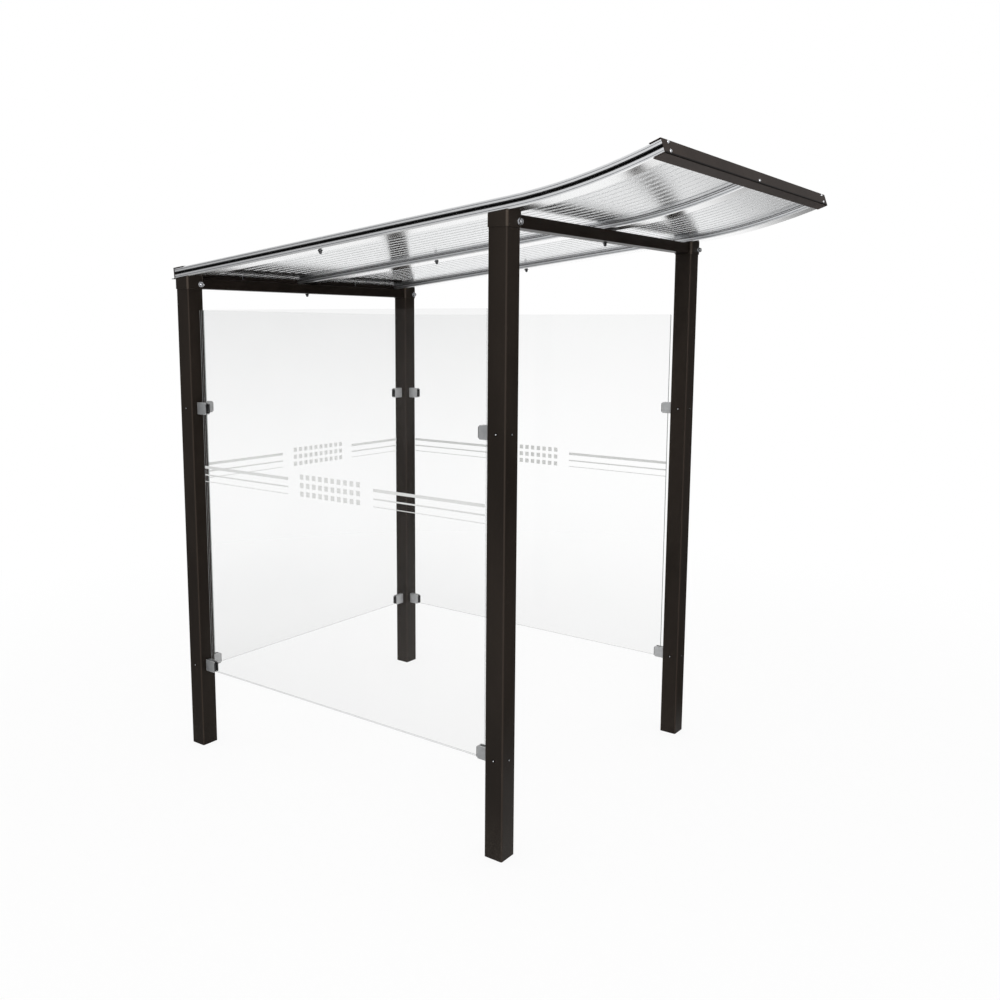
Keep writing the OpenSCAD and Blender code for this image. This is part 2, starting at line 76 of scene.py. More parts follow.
class Signal:
    """One output socket of a shader node, whose arithmetic adds Math nodes."""

    def __init__(self, recipe: "Recipe", socket: bpy.types.NodeSocket) -> None:
        """Wraps a socket.

        Args:
            recipe: The recipe whose node tree holds the socket.
            socket: The output socket.
        """
        self.recipe = recipe
        self.socket = socket

    def _math(self, operation: str, *values: Input, clamp: bool = False) -> "Signal":
        """Adds a Math node.

        Args:
            operation: The Math node's operation.
            values: What goes into its sockets, in order.
            clamp: Whether the result is kept between 0 and 1.

        Returns:
            The node's result.
        """
        return self.recipe.node("ShaderNodeMath", {"operation": operation, "use_clamp": clamp},
                                dict(enumerate(values)))

    def __add__(self, other: Input) -> "Signal":
        """Gives self + other."""
        return self._math("ADD", self, other)

    __radd__ = __add__

    def __sub__(self, other: Input) -> "Signal":
        """Gives self - other."""
        return self._math("SUBTRACT", self, other)

    def __rsub__(self, other: Input) -> "Signal":
        """Gives other - self."""
        return self._math("SUBTRACT", other, self)

    def __mul__(self, other: Input) -> "Signal":
        """Gives self * other."""
        return self._math("MULTIPLY", self, other)

    __rmul__ = __mul__

    def __truediv__(self, other: Input) -> "Signal":
        """Gives self / other."""
        return self._math("DIVIDE", self, other)

    def __pow__(self, other: Input) -> "Signal":
        """Gives self to the power of other."""
        return self._math("POWER", self, other)

    def above(self, edge: Input) -> "Signal":
        """Gives 1 where self is greater than edge, otherwise 0."""
        return self._math("GREATER_THAN", self, edge)

    def most(self, other: Input) -> "Signal":
        """Gives the greater of self and other."""
        return self._math("MAXIMUM", self, other)

    def bearing(self, other: Input) -> "Signal":
        """Gives the angle whose tangent is self / other."""
        return self._math("ARCTAN2", self, other)

    def apply(self, operation: str) -> "Signal":
        """Gives a Math operation of self alone, such as ABSOLUTE or COSINE."""
        return self._math(operation, self)

    def clamped(self) -> "Signal":
        """Gives self kept between 0 and 1."""
        return self._math("ADD", self, 0.0, clamp=True)

    def swing(self, reach: float) -> "Signal":
        """Gives how far self is from 0.5, times reach."""
        return (self - 0.5) * reach

    def step(self, low: float, high: float) -> "Signal":
        """Rises smoothly from 0 at low to 1 at high.

        Args:
            low: The value that gives 0.
            high: The value that gives 1. It may be below low.

        Returns:
            The smooth step.
        """
        return self.recipe.node("ShaderNodeMapRange", {"interpolation_type": "SMOOTHSTEP"},
                                {"Value": self, "From Min": low, "From Max": high,
                                 "To Min": 0.0, "To Max": 1.0})


@dataclass(frozen=True)
class Texture:
    """Smooth noise over a surface, and the relief that it may give.

    The scale is in waves per metre, detail counts the octaves, rough weighs the finer ones, and
    stretch scales each axis. The relief is depth metres high, and strength is the share that shows.
    """

    scale: float
    detail: float = 2.0
    rough: float = 0.5
    stretch: Optional[Tuple[float, float, float]] = None
    depth: float = 0.0
    strength: float = 0.5


class Recipe:
    """The node tree of one material or of the world."""

    def __init__(self, tree: bpy.types.NodeTree, output: str) -> None:
        """Empties a node tree and adds its output node.

        Args:
            tree: The node tree.
            output: The type of its output node.
        """
        self.tree = tree
        tree.nodes.clear()
        self.output = tree.nodes.new(output)

    def node(self, kind: str, settings: Optional[Dict[str, Any]] = None,
             inputs: Optional[Dict[Union[str, int], Input]] = None,
             output: Union[str, int] = 0) -> Signal:
        """Adds one node.

        Args:
            kind: The node's type.
            settings: Its properties, such as a Math node's operation, set first.
            inputs: Values or signals by socket name or index.
            output: The socket that is wanted.

        Returns:
            The wanted output.
        """
        made = self.tree.nodes.new(kind)
        for name, value in (settings or {}).items():
            setattr(made, name, value)
        for key, value in (inputs or {}).items():
            if isinstance(value, Signal):
                self.tree.links.new(value.socket, made.inputs[key])
            else:
                made.inputs[key].default_value = value
        return Signal(self, made.outputs[output])

    def place(self) -> Signal:
        """Gives the point in the shelter's frame, in metres."""
        return self.node("ShaderNodeTexCoord", output="Object")

    def geometry(self, output: str) -> Signal:
        """Gives an output of the Geometry node, such as True Normal or Backfacing."""
        return self.node("ShaderNodeNewGeometry", output=output)

    def rays(self, kind: str) -> Signal:
        """Gives 1 for rays of a kind, such as Camera or Glossy, otherwise 0."""
        return self.node("ShaderNodeLightPath", output=f"Is {kind} Ray")

    def seen(self) -> Signal:
        """Gives 1 for the rays that show a background: straight, mirrored or through glass."""
        return self.rays("Camera").most(self.rays("Glossy")).most(self.rays("Transmission"))

    def axis(self, point: Signal, name: str) -> Signal:
        """Gives one coordinate, X, Y or Z, of a point."""
        return self.node("ShaderNodeSeparateXYZ", inputs={0: point}, output=name)

    def vector(self, x: Input, y: Input, z: Input) -> Signal:
        """Gives the vector of three values."""
        return self.node("ShaderNodeCombineXYZ", inputs={0: x, 1: y, 2: z})

    def noise(self, point: Signal, texture: Texture) -> Signal:
        """Gives smooth noise between 0 and 1.

        Args:
            point: Where it is read.
            texture: Its scale, octaves and stretch.

        Returns:
            The noise value.
        """
        if texture.stretch is not None:
            point = self.node("ShaderNodeVectorMath", {"operation": "MULTIPLY"},
                              {0: point, 1: texture.stretch})
        return self.node("ShaderNodeTexNoise", {"noise_dimensions": "3D"},
                         {"Vector": point, "Scale": texture.scale, "Detail": texture.detail,
                          "Roughness": texture.rough})

    def cells(self, point: Signal, scale: float) -> Signal:
        """Gives one random grey for each cell of a Voronoi pattern."""
        colour = self.node("ShaderNodeTexVoronoi", {"feature": "F1"},
                           {"Vector": point, "Scale": scale}, "Color")
        return self.node("ShaderNodeSeparateColor", inputs={0: colour})

    def mix(self, factor: Input, low: Input, high: Input) -> Signal:
        """Gives a colour between low, at factor 0, and high, at factor 1."""
        return self.node("ShaderNodeMix", {"data_type": "RGBA"},
                         {0: factor, 6: self._rgba(low), 7: self._rgba(high)}, 2)

    @staticmethod
    def _rgba(value: Input) -> Input:
        """Gives a colour four channels, and leaves a signal as it is."""
        return value if isinstance(value, Signal) else (*tuple(value)[:3], 1.0)

    def bump(self, height: Signal, texture: Texture) -> Signal:
        """Gives the normal that a height makes.

        Args:
            height: The height, from 0 to 1.
            texture: The relief's depth and strength.

        Returns:
            The bent normal.
        """
        return self.node("ShaderNodeBump", inputs={"Strength": texture.strength,
                                                   "Distance": texture.depth, "Height": height})

    def gleam(self, ior: float) -> Signal:
        """Gives the share of light that a clear body's outer side mirrors.

        Args:
            ior: The body's index of refraction.

        Returns:
            The share, which is 0 on the inner side.
        """
        outer = 1.0 - self.geometry("Backfacing")
        return self.node("ShaderNodeFresnel", inputs={"IOR": ior}) * outer

    def clear(self, tint: Colour) -> Signal:
        """Gives a shader that lets light straight through, tinted."""
        return self.node("ShaderNodeBsdfTransparent", inputs={0: (*tint, 1.0)})

    def mirror(self, colour: Colour, roughness: float) -> Signal:
        """Gives a mirroring shader, blurred by its roughness."""
        return self.node("ShaderNodeBsdfAnisotropic", inputs={"Color": (*colour, 1.0),
                                                              "Roughness": roughness})

    def principled(self, **sockets: Input) -> Signal:
        """Adds a Principled shader.

        Args:
            sockets: Values by socket name, with _ for each space.

        Returns:
            The shader.
        """
        named = {name.replace("_", " "): value for name, value in sockets.items()}
        named["Base Color"] = self._rgba(named["Base Color"])
        return self.node("ShaderNodeBsdfPrincipled", inputs=named)

    def blend(self, factor: Input, low: Signal, high: Signal) -> Signal:
        """Gives the shader between low, at factor 0, and high, at factor 1."""
        return self.node("ShaderNodeMixShader", inputs={0: factor, 1: low, 2: high})

    def finish(self, shader: Signal) -> None:
        """Links a shader to the output node's surface."""
        self.tree.links.new(shader.socket, self.output.inputs["Surface"])


# Roof line ---------------------------------------------------------------------------------


@dataclass(frozen=True)
class RoofLine:
    """The side view of the rails' underside: a straight slope, then an upward sweep in front.

    The sweep starts at lead before the front sleeves. A rail with its cap is stack_h high, and
    slope and sweep pass into each other over join on each side of the start.
    """

    pitch: float = math.radians(6.0)
    radius: float = 2.46
    lead: float = 0.0015
    rail_h: float = 0.016
    stack_h: float = 0.045
    join: float = 0.0005

    def rear(self) -> Vector:
        """Gives the rear end of the rails' underside, with X at 0."""
        low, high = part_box("base_rail_middle")
        return Vector((0.0, high.y - self.rail_h * math.sin(self.pitch), low.z))

    def start(self) -> Vector:
        """Gives the point where the sweep starts, with X at 0."""
        rear = self.rear()
        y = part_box("sleeve_front_left")[0].y - self.lead
        return Vector((0.0, y, rear.z + (rear.y - y) * math.tan(self.pitch)))

    def up(self) -> Vector:
        """Gives the direction square to the straight slope."""
        return Vector((0.0, math.sin(self.pitch), math.cos(self.pitch)))

    def centre(self) -> Vector:
        """Gives the middle of the sweep's circle, with X at 0."""
        return self.start() + self.radius * self.up()

    def local(self, recipe: Recipe) -> Signal:
        """Gives a point as seen by the roof: across, along and above its underside.

        Args:
            recipe: The recipe that needs it.

        Returns:
            The vector of X, run along the roof and height above the rails' underside.
        """
        point = recipe.place()
        y, z = recipe.axis(point, "Y"), recipe.axis(point, "Z")
        start, up, centre = self.start(), self.up(), self.centre()
        straight_h = (y - start.y) * up.y + (z - start.z) * up.z
        straight_s = (y - start.y) * up.z - (z - start.z) * up.y
        across, rise = y - centre.y, centre.z - z
        reach = (across * across + rise * rise) ** 0.5
        swept_h = self.radius - reach
        swept_s = (self.pitch - (0.0 - across).bearing(rise)) * self.radius
        front = (0.0 - straight_s).step(-self.join, self.join)
        height = straight_h + front * (swept_h - straight_h)
        run = straight_s + front * (swept_s - straight_s)
        return recipe.vector(recipe.axis(point, "X"), run, height)


ROOF = RoofLine()


# Finishes ----------------------------------------------------------------------------------


def shaded(colour: Colour, gain: float) -> Colour:
    """Gives a colour made darker or lighter by a gain, with no channel over 1."""
    red, green, blue = (min(1.0, gain * channel) for channel in colour)
    return red, green, blue


@dataclass(frozen=True)
class Finish:
    """What a surface is made of. A subclass draws its nodes."""

    name: str

    def draw(self, recipe: Recipe) -> Signal:
        """Gives the finish's shader."""
        raise NotImplementedError

    def material(self) -> bpy.types.Material:
        """Gives the finish's material, made once."""
        known = bpy.data.materials.get(self.name)
        if known is not None:
            return known
        made = bpy.data.materials.new(self.name)
        made.use_nodes = True
        recipe = Recipe(made.node_tree, "ShaderNodeOutputMaterial")
        recipe.finish(self.draw(recipe))
        return made


@dataclass(frozen=True)
class PowderCoat(Finish):
    """Satin powder coat: fine orange peel, faint tone drifts, foot dust, painted corner highlights.
    """

    colour: Colour = (0.0170, 0.0132, 0.0106)
    light_gain: float = 1.22
    dark_gain: float = 0.84
    roughness: float = 0.30
    gloss: float = 0.05
    drift: Texture = Texture(5.0, 3.0, stretch=(1.0, 1.0, 0.35))
    drift_rough: float = 0.10
    peel: Texture = Texture(520.0, 1.5, depth=0.00012)
    # A painted highlight lightens the rounded upright corners, over this span and by this gain
    corner: Span = (0.10, 0.40)
    corner_highlight_gain: float = 2.1
    dust: Colour = (0.16, 0.145, 0.125)
    dust_height: float = 0.22
    dust_rough: float = 0.3
    speck: Texture = Texture(210.0, 3.0, 0.7)
    foot_specks: Span = (0.42, 0.78)
    foot_share: float = 0.18
    stray_specks: Span = (0.70, 0.80)
    stray_share: float = 0.05

    def draw(self, recipe: Recipe) -> Signal:
        """Gives the paint's shader."""
        point = recipe.place()
        drift = recipe.noise(point, self.drift)
        speck = recipe.noise(point, self.speck)
        low = recipe.axis(point, "Z").step(self.dust_height, 0.0)
        at_foot = low * speck.step(*self.foot_specks) * self.foot_share
        dusty = (at_foot + speck.step(*self.stray_specks) * self.stray_share).clamped()
        dark, light = (shaded(self.colour, gain) for gain in (self.dark_gain, self.light_gain))
        paint = self.paint_light_and_shade(recipe, recipe.mix(drift.step(*MOST_OF_NOISE), dark, light))
        rough = self.roughness + drift.swing(self.drift_rough) + dusty * self.dust_rough
        return recipe.principled(Base_Color=recipe.mix(dusty, paint, self.dust),
                                 Roughness=rough.clamped(), Specular_IOR_Level=self.gloss,
                                 Normal=recipe.bump(recipe.noise(point, self.peel), self.peel))

    def paint_light_and_shade(self, recipe: Recipe, paint: Signal) -> Signal:
        """Paints a highlight on the rounded upright corners, as painted light.

        Args:
            recipe: The recipe that needs it.
            paint: The plain paint's colour.

        Returns:
            The paint's colour with its painted corner highlight.
        """
        normal = recipe.geometry("Normal")
        corner = (recipe.axis(normal, "X") * recipe.axis(normal, "Y")).apply("ABSOLUTE")
        return recipe.mix(corner.step(*self.corner), paint, shaded(self.colour, self.corner_highlight_gain))


@dataclass(frozen=True)
class TrimCoat(PowderCoat):
    """Matt powder coat of the folded trims, with a painted shadow line along the lower bend."""

    colour: Colour = (0.035, 0.027, 0.0235)
    gloss: float = 0.012
    # A painted shadow line above the lower bend: its colour, height, fade and facing
    bend_shadow: Colour = (0.006, 0.005, 0.0045)
    bend_shadow_h: float = 0.0035
    bend_shadow_fade: float = 0.002
    bend_shadow_facing: float = 0.65

    def paint_light_and_shade(self, recipe: Recipe, paint: Signal) -> Signal:
        """Paints a shadow line just above the lower bend, on the faces that look forward.

        Args:
            recipe: The recipe that needs it.
            paint: The plain paint's colour.

        Returns:
            The paint's colour with its painted shadow line.
        """
        front = 0.0 - recipe.axis(recipe.geometry("True Normal"), "Y")
        low = recipe.axis(ROOF.local(recipe), "Z").step(self.bend_shadow_h + self.bend_shadow_fade, self.bend_shadow_h)
        return recipe.mix(front.above(self.bend_shadow_facing) * low, paint, self.bend_shadow)


@dataclass(frozen=True)
class Extrusion(Finish):
    """Bare extruded aluminium with fine die lines.

    Light and shade are painted on: each side is painted darker as shade, with a painted highlight
    along its lower edge and a painted shade line for a groove along the middle of the rail's and
    the cap's side, and the slot between rail and cap is painted near black as shade. A line on a
    side fades over line_edge, in shares of its width.
    """

    colour: Colour = (0.98, 0.983, 0.985)
    dull_gain: float = 0.96
    # The side faces are painted darker than the rest, as painted shade
    shaded_side_colour: Colour = (0.76, 0.768, 0.78)
    # A painted shade line stands in for a groove along the middle of each rail's and cap's side
    groove_shade_colour: Colour = (0.22, 0.23, 0.245)
    # The faces in the slot between rail and cap are painted near black, as painted shade
    slot_shade_colour: Colour = (0.030, 0.030, 0.032)
    roughness: float = 0.34
    face_roughness: float = 0.19
    side_facing: float = 0.7
    line_edge: Span = (0.7, 1.3)
    groove: float = 0.0011
    arris: float = 0.0025
    slot_reach: float = 0.010
    slot_fade: float = 0.001
    lines: Texture = Texture(900.0, 3.0, 0.65, (1.0, 0.004, 1.0), 0.00004, 0.35)
    lines_rough: float = 0.16
    cloud: Texture = Texture(14.0, 3.0, stretch=(1.0, 0.25, 1.0))
    cloud_rough: float = 0.10
    tone: Span = (0.25, 0.75)

    def draw(self, recipe: Recipe) -> Signal:
        """Gives the metal's shader."""
        local = ROOF.local(recipe)
        height = recipe.axis(local, "Z")
        side = recipe.axis(recipe.geometry("True Normal"), "X")
        side = side.apply("ABSOLUTE").above(self.side_facing)
        lines, cloud = recipe.noise(local, self.lines), recipe.noise(local, self.cloud)
        from_middle = (height - ROOF.stack_h / 2).apply("ABSOLUTE")
        off_groove = (from_middle - (ROOF.stack_h - ROOF.rail_h) / 2).apply("ABSOLUTE")
        sharp, soft = self.line_edge
        # Painted shade: a dark line along the middle of each side, for its groove
        groove = side * off_groove.step(self.groove * soft, self.groove * sharp)
        # The side above its lowest strip takes the painted shade; that bare strip is a painted
        # highlight
        shaded_side = side * height.step(self.arris * sharp, self.arris * soft)
        # Painted shade: the faces inside the slot are near black and not metal
        slot = (1.0 - side) * from_middle.step(self.slot_reach + self.slot_fade, self.slot_reach)
        bare = recipe.mix((lines * 0.5 + cloud * 0.5).step(*self.tone),
                          shaded(self.colour, self.dull_gain), self.colour)
        bare = recipe.mix(shaded_side, bare, self.shaded_side_colour)
        colour = recipe.mix(slot, recipe.mix(groove, bare, self.groove_shade_colour), self.slot_shade_colour)
        plain = self.face_roughness + side * (self.roughness - self.face_roughness)
        rough = plain + lines.swing(self.lines_rough) + cloud.swing(self.cloud_rough)
        return recipe.principled(Base_Color=colour, Metallic=1.0 - slot,
                                 Roughness=rough.clamped(),
                                 Normal=recipe.bump(lines, self.lines))


@dataclass(frozen=True)
class Casting(Finish):
    """Satin lacquered casting with a fine sand grain and painted highlights along its edges."""

    colour: Colour = (0.43, 0.435, 0.44)
    dull_gain: float = 0.86
    # Painted highlight: edges are made brighter where the bevelled normal bends away
    edge_highlight: Colour = (0.84, 0.84, 0.83)
    edge_w: float = 0.0022
    edge_bend: Span = (0.01, 0.12)
    bend_samples: int = 4
    metallic: float = 0.30
    roughness: float = 0.42
    grain: Texture = Texture(1500.0, depth=0.00006)
    grain_rough: float = 0.2
    cloud: Texture = Texture(60.0, 3.0)

    def draw(self, recipe: Recipe) -> Signal:
        """Gives the metal's shader."""
        point = recipe.place()
        grain = recipe.noise(point, self.grain)
        plain = recipe.mix(recipe.noise(point, self.cloud).step(*MOST_OF_NOISE),
                           shaded(self.colour, self.dull_gain), self.colour)
        bent = recipe.node("ShaderNodeBevel", {"samples": self.bend_samples},
                           {"Radius": self.edge_w})
        along = recipe.node("ShaderNodeVectorMath", {"operation": "DOT_PRODUCT"},
                            {0: bent, 1: recipe.geometry("True Normal")}, "Value")
        edge = (1.0 - along).step(*self.edge_bend)
        rough = (self.roughness + grain.swing(self.grain_rough)).clamped()
        return recipe.principled(Base_Color=recipe.mix(edge, plain, self.edge_highlight),
                                 Metallic=self.metallic, Roughness=rough,
                                 Normal=recipe.bump(grain, self.grain))


@dataclass(frozen=True)
class ZincPlate(Finish):
    """Bright zinc plate with a faint patchwork of tone and a fine grain."""

    colour: Colour = (0.74, 0.75, 0.77)
    dull_gain: float = 0.78
    roughness: float = 0.22
    patch_scale: float = 700.0
    patch_share: float = 0.6
    patch_rough: float = 0.14
    fine: Texture = Texture(1800.0, depth=0.00003, strength=0.4)

    def draw(self, recipe: Recipe) -> Signal:
        """Gives the plate's shader."""
        point = recipe.place()
        patch = recipe.cells(point, self.patch_scale)
        fine = recipe.noise(point, self.fine)
        tone = patch * self.patch_share + fine * (1.0 - self.patch_share)
        colour = recipe.mix(tone, shaded(self.colour, self.dull_gain), self.colour)
        rough = (self.roughness + patch.swing(self.patch_rough)).clamped()
        return recipe.principled(Base_Color=colour, Metallic=1.0, Roughness=rough,
                                 Normal=recipe.bump(fine, self.fine))


@dataclass(frozen=True)
class Rubber(Finish):
    """Matt black rubber with a fine grain and a little bloom."""

    colour: Colour = (0.008, 0.008, 0.009)
    bloom: Colour = (0.055, 0.055, 0.055)
    gloss: float = 0.35
    roughness: float = 0.55
    grain: Texture = Texture(1100.0, depth=0.00006)
    grain_rough: float = 0.2
    cloud: Texture = Texture(45.0, 3.0)
    bloom_spread: Span = (0.45, 0.8)
    bloom_share: float = 0.5

    def draw(self, recipe: Recipe) -> Signal:
        """Gives the rubber's shader."""
        point = recipe.place()
        grain = recipe.noise(point, self.grain)
        bloomed = recipe.noise(point, self.cloud).step(*self.bloom_spread) * self.bloom_share
        rough = (self.roughness + grain.swing(self.grain_rough)).clamped()
        return recipe.principled(Base_Color=recipe.mix(bloomed, self.colour, self.bloom),
                                 Roughness=rough, Specular_IOR_Level=self.gloss,
                                 Normal=recipe.bump(grain, self.grain))


class Face(Enum):
    """The axis that a pane's broad faces look along."""

    SIDE = "X"
    BACK = "Y"


@dataclass(frozen=True)
class ClearGlass(Finish):
    """Clear toughened glass with a faint film, ground edges and painted shade towards top and foot.

    A pane shows a painted grey line along its foot, and may show one along its rear edge; these
    painted lines stand in for the light and shade that the glass edges show.
    """

    node: str = "glass_left"
    face: Face = Face.SIDE
    clear: Colour = (0.998, 0.999, 0.999)
    # Painted shade: the see-through darkens towards the top and foot, by the colour and shares
    # below
    shade_colour: Colour = (0.89, 0.892, 0.892)
    shade_rise: float = 1.6
    shade_share: float = 0.30
    least_shade: float = 0.01
    coating: Colour = (1.0, 0.93, 0.90)
    coating_roughness: float = 0.03
    ior: float = 1.26
    haze: Colour = (0.55, 0.56, 0.56)
    haze_roughness: float = 0.9
    haze_drift: Texture = Texture(3.0, 4.0, 0.6)
    haze_spread: Span = (0.35, 0.8)
    haze_share: float = 0.008
    least_haze: float = 0.003
    # The painted edge lines: their width, the foot's height and each line's strength
    arris: float = 0.0025
    foot_h: float = 0.0025
    foot_line: float = 0.45
    rear_line: float = 0.0
    edge: Colour = (0.20, 0.26, 0.245)
    edge_gain: float = 1.6
    edge_roughness: float = 0.25
    edge_alpha: float = 0.80
    grind: Texture = Texture(600.0)

    def draw(self, recipe: Recipe) -> Signal:
        """Gives the pane's shader."""
        broad = recipe.axis(recipe.geometry("True Normal"), self.face.value)
        broad = broad.apply("ABSOLUTE").above(0.5)
        haze = recipe.principled(Base_Color=self.haze, Roughness=self.haze_roughness)
        return recipe.blend(broad, self._ground_edge(recipe),
                            recipe.blend(self._lines(recipe), self._pane(recipe, haze), haze))

    def _pane(self, recipe: Recipe, haze: Signal) -> Signal:
        """Gives the broad faces: see-through, mirroring and a little hazed.

        Args:
            recipe: The recipe that needs it.
            haze: The shader of the film on the glass.

        Returns:
            The shader.
        """
        low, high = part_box(self.node)
        point = recipe.place()
        # Painted shade: the see-through is darker towards the pane's top and foot
        level = (recipe.axis(point, "Z") - (low.z + high.z) / 2) / ((high.z - low.z) / 2)
        tint = level.apply("ABSOLUTE") ** self.shade_rise * self.shade_share + self.least_shade
        body = recipe.blend(tint, recipe.clear(self.clear), recipe.clear(self.shade_colour))
        mirror = recipe.mirror(self.coating, self.coating_roughness)
        drift = recipe.noise(point, self.haze_drift).step(*self.haze_spread)
        return recipe.blend(drift * self.haze_share + self.least_haze,
                            recipe.blend(recipe.gleam(self.ior), body, mirror), haze)

    def _lines(self, recipe: Recipe) -> Signal:
        """Gives how strongly the painted edge lines along the foot and the rear edge show."""
        low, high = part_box(self.node)
        point = recipe.place()
        foot = (recipe.axis(point, "Z") - low.z).step(self.foot_h, 0.5 * self.foot_h)
        rear = (high.y - recipe.axis(point, "Y")).step(self.arris, 0.5 * self.arris)
        return (foot * self.foot_line).most(rear * self.rear_line)

    def _ground_edge(self, recipe: Recipe) -> Signal:
        """Gives the shader of the ground edges, seen from outside only."""
        tone = recipe.mix(recipe.noise(recipe.place(), self.grind), self.edge,
                          shaded(self.edge, self.edge_gain))
        outer = 1.0 - recipe.geometry("Backfacing")
        return recipe.principled(Base_Color=tone, Roughness=self.edge_roughness,
                                 Alpha=outer * self.edge_alpha)


@dataclass(frozen=True)
class MultiwallSheet(Finish):
    """Clear ribbed sheet: glossy between its ribs, grey along each rib, painted shade along its
    sides.
    """

    node: str = "roof_sheet_left"
    outer_tint: Colour = (0.990, 0.992, 0.993)
    inner_tint: Colour = (0.997, 0.998, 0.998)
    rib_tint: Colour = (0.60, 0.605, 0.61)
    rib_pitch: float = 0.024
    rib_t: float = 0.0008
    rib_spread: Span = (0.50, 0.90)
    sheen: Colour = (0.88, 0.885, 0.89)
    sheen_gain: float = 4.0
    sheen_cut: float = 0.08
    sheen_spread: Span = (0.40, 0.90)
    sheen_lost: float = 0.72
    skin_facing: float = 0.0005
    ior: float = 1.60
    roughness: float = 0.15
    swept_roughness: float = 0.26
    sweep: Span = (0.0, -0.15)
    # The side edges, which lie in the rails' slots, are painted near black as the slot's shade
    edge_shade: Colour = (0.010, 0.010, 0.011)
    edge_shade_grain: Texture = Texture(900.0)
    edge_shade_grain_colour: Colour = (0.03, 0.03, 0.03)
    edge_shade_roughness: float = 0.5
    edge_shade_w: float = 0.004

    def draw(self, recipe: Recipe) -> Signal:
        """Gives the sheet's shader."""
        local = ROOF.local(recipe)
        low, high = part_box(self.node)
        from_middle = recipe.axis(local, "Z") - ROOF.stack_h / 2
        crest = self._crest(recipe, recipe.axis(local, "X"))
        flip = 1.0 - recipe.geometry("Backfacing") * 2.0
        up = recipe.axis(recipe.geometry("True Normal"), "Z") * flip
        outer = (up * from_middle).above(self.skin_facing)
        rib = crest.step(*self.rib_spread) * (0.0 - from_middle).above(0.0)
        body = self._body(recipe, rib, outer)
        polish = (recipe.gleam(self.ior) * self.sheen_gain - self.sheen_cut).clamped()
        gleam = polish * (1.0 - crest.step(*self.sheen_spread) * self.sheen_lost) * outer
        level, swept = (recipe.mirror(self.sheen, rough)
                        for rough in (self.roughness, self.swept_roughness))
        mirror = recipe.blend(recipe.axis(local, "Y").step(*self.sweep), level, swept)
        off_middle = (recipe.axis(local, "X") - (low.x + high.x) / 2).apply("ABSOLUTE")
        # Painted shade: a near-black strip along each side edge, in the rails' slots
        in_edge_shade = off_middle.above((high.x - low.x) / 2 - self.edge_shade_w)
        tone = recipe.mix(recipe.noise(local, self.edge_shade_grain), self.edge_shade, self.edge_shade_grain_colour)
        edge_shade = recipe.principled(Base_Color=tone, Roughness=self.edge_shade_roughness)
        return recipe.blend(in_edge_shade, recipe.blend(gleam, body, mirror), edge_shade)

    def _crest(self, recipe: Recipe, across: Signal) -> Signal:
        """Gives a wave that is 1 at every second rib and 0 at the ribs between.

        Args:
            recipe: The recipe that needs it.
            across: The place across the sheet.

        Returns:
            The wave.
        """
        low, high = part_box(self.node)
        cells = round((high.x - low.x) / self.rib_pitch)
        step = (high.x - low.x - self.rib_t) / cells
        turn = (across - (low.x + self.rib_t / 2)) * (math.pi / step)
        return turn.apply("COSINE") * 0.5 + 0.5

    def _body(self, recipe: Recipe, rib: Signal, outer: Signal) -> Signal:
        """Gives the clear sheet, with the grey of the ribs in its lower skin.

        Args:
            recipe: The recipe that needs it.
            rib: Where the ribs meet the lower skin.
            outer: Where a skin's outer face is.

        Returns:
            The shader.
        """
        tints = (self.inner_tint, self.outer_tint, self.rib_tint)
        inner, skin, ribbed = (recipe.clear(tint) for tint in tints)
        return recipe.blend(outer, inner, recipe.blend(rib, skin, ribbed))


@dataclass(frozen=True)
class FrostedFilm(Finish):
    """Pale etched film with a very fine grain, lit from both sides."""

    colour: Colour = (0.765, 0.77, 0.76)
    light_gain: float = 1.08
    haze: float = 0.4
    roughness: float = 0.75
    alpha: float = 0.94
    grain: Texture = Texture(2500.0, depth=0.00002)

    def draw(self, recipe: Recipe) -> Signal:
        """Gives the film's shader."""
        grain = recipe.noise(recipe.place(), self.grain)
        tone = recipe.mix(grain, self.colour, shaded(self.colour, self.light_gain))
        front = recipe.principled(Base_Color=tone, Roughness=self.roughness, Alpha=self.alpha,
                                  Normal=recipe.bump(grain, self.grain))
        through = recipe.node("ShaderNodeBsdfTranslucent", inputs={"Color": (*self.colour, 1.0)})
        return recipe.blend(self.haze, front, through)


